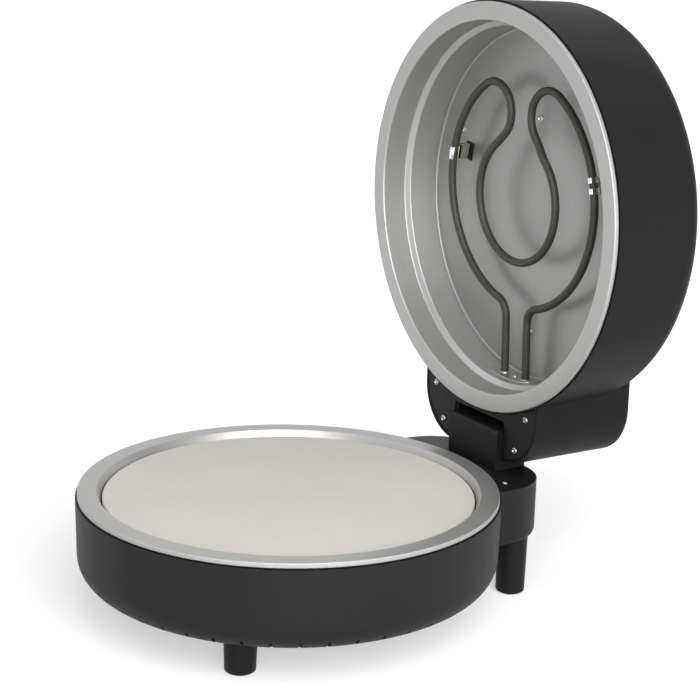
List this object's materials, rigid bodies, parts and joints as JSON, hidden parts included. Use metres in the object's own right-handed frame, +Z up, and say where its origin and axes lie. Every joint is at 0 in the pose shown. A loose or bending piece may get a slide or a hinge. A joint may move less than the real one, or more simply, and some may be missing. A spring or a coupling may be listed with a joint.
{
  "type": "electric pizza maker",
  "caption": "Round countertop pizza oven on four legs, with a ceramic baking stone and a deep lid hinged at the back.",
  "frame": {"origin": "on the axis of the round base, at the level of the table", "axes": "+Z up, +Y from the base's axis to the hinge behind it, +X to the object's right as seen from the front; the lid is open at rest"},
  "size_m": [0.3472, 0.4848, 0.4946],
  "materials": {
    "charcoal_plastic": "fine satin grain",
    "satin_aluminium": "satin spun sheet",
    "ceramic_stone": "fired cordierite, matt",
    "oxidised_sheath": "oxidised steel sheath",
    "black_plastic": "satin",
    "black_steel": "satin black coat",
    "zinc_steel": "zinc plated",
    "bright_screw": "bright plated",
    "polished_pin": "ground",
    "bronze": "sintered, oiled",
    "ivory_ceramic": "glazed",
    "beige_ceramic": "unglazed",
    "dark_phenolic": "moulded",
    "glass_braid": "glass-fibre braid",
    "rubber_pad": "matt",
    "green_lens": "moulded lens",
    "red_lens": "moulded lens"
  },
  "bodies": {
    "base": {"base_casing": "charcoal_plastic", "base_pan": "satin_aluminium", "pan_spacers": "zinc_steel", "pan_screws": "zinc_steel", "lower_element": "oxidised_sheath", "lower_element_clips": "zinc_steel", "lower_terminals": "ivory_ceramic", "thermal_cutout": "dark_phenolic", "rear_block": "charcoal_plastic", "rear_block_top": "black_plastic", "block_screws": "zinc_steel", "hinge_post": "black_plastic", "hinge_post_screws": "zinc_steel", "hinge_pin": "polished_pin", "pin_clips": "zinc_steel", "cable_gland": "black_plastic", "terminal_block": "ivory_ceramic", "base_leads": "glass_braid", "front_left_leg": "black_plastic", "front_right_leg": "black_plastic", "rear_left_leg": "black_plastic", "rear_right_leg": "black_plastic", "leg_screws": "zinc_steel", "foot_pads": "rubber_pad"},
    "stone": {"pizza_stone": "ceramic_stone"},
    "lid": {"lid_casing": "charcoal_plastic", "lid_liner": "satin_aluminium", "liner_spacers": "zinc_steel", "liner_screws": "zinc_steel", "upper_element": "oxidised_sheath", "element_plate": "zinc_steel", "element_plate_screw": "zinc_steel", "upper_element_clips": "zinc_steel", "sensor_block": "beige_ceramic", "upper_terminals": "ivory_ceramic", "lid_leads": "glass_braid", "hinge_plate": "black_steel", "hinge_plate_screws": "bright_screw", "left_hinge_bracket": "zinc_steel", "right_hinge_bracket": "zinc_steel", "hinge_bushes": "bronze", "thermostat": "dark_phenolic", "power_lamp": "green_lens", "heating_lamp": "red_lens", "lid_handle": "black_plastic", "handle_screws": "zinc_steel"},
    "knob": {"thermostat_knob": "black_plastic"}
  },
  "joints": [
    {"name": "lid_hinge", "type": "hinge", "parent": "base", "child": "lid", "pos_m": [0, 0.199, 0.122], "axis": [1, 0, 0], "range_deg": [0, 90]},
    {"name": "stone_lift", "type": "slide", "parent": "base", "child": "stone", "axis": [0, 0, 1], "range_m": [0, 0.02]},
    {"name": "knob_turn", "type": "hinge", "parent": "lid", "child": "knob", "pos_m": [0.028, 0.288, 0.164], "axis": [0, 1, 0], "range_deg": [0, 270]}
  ]
}
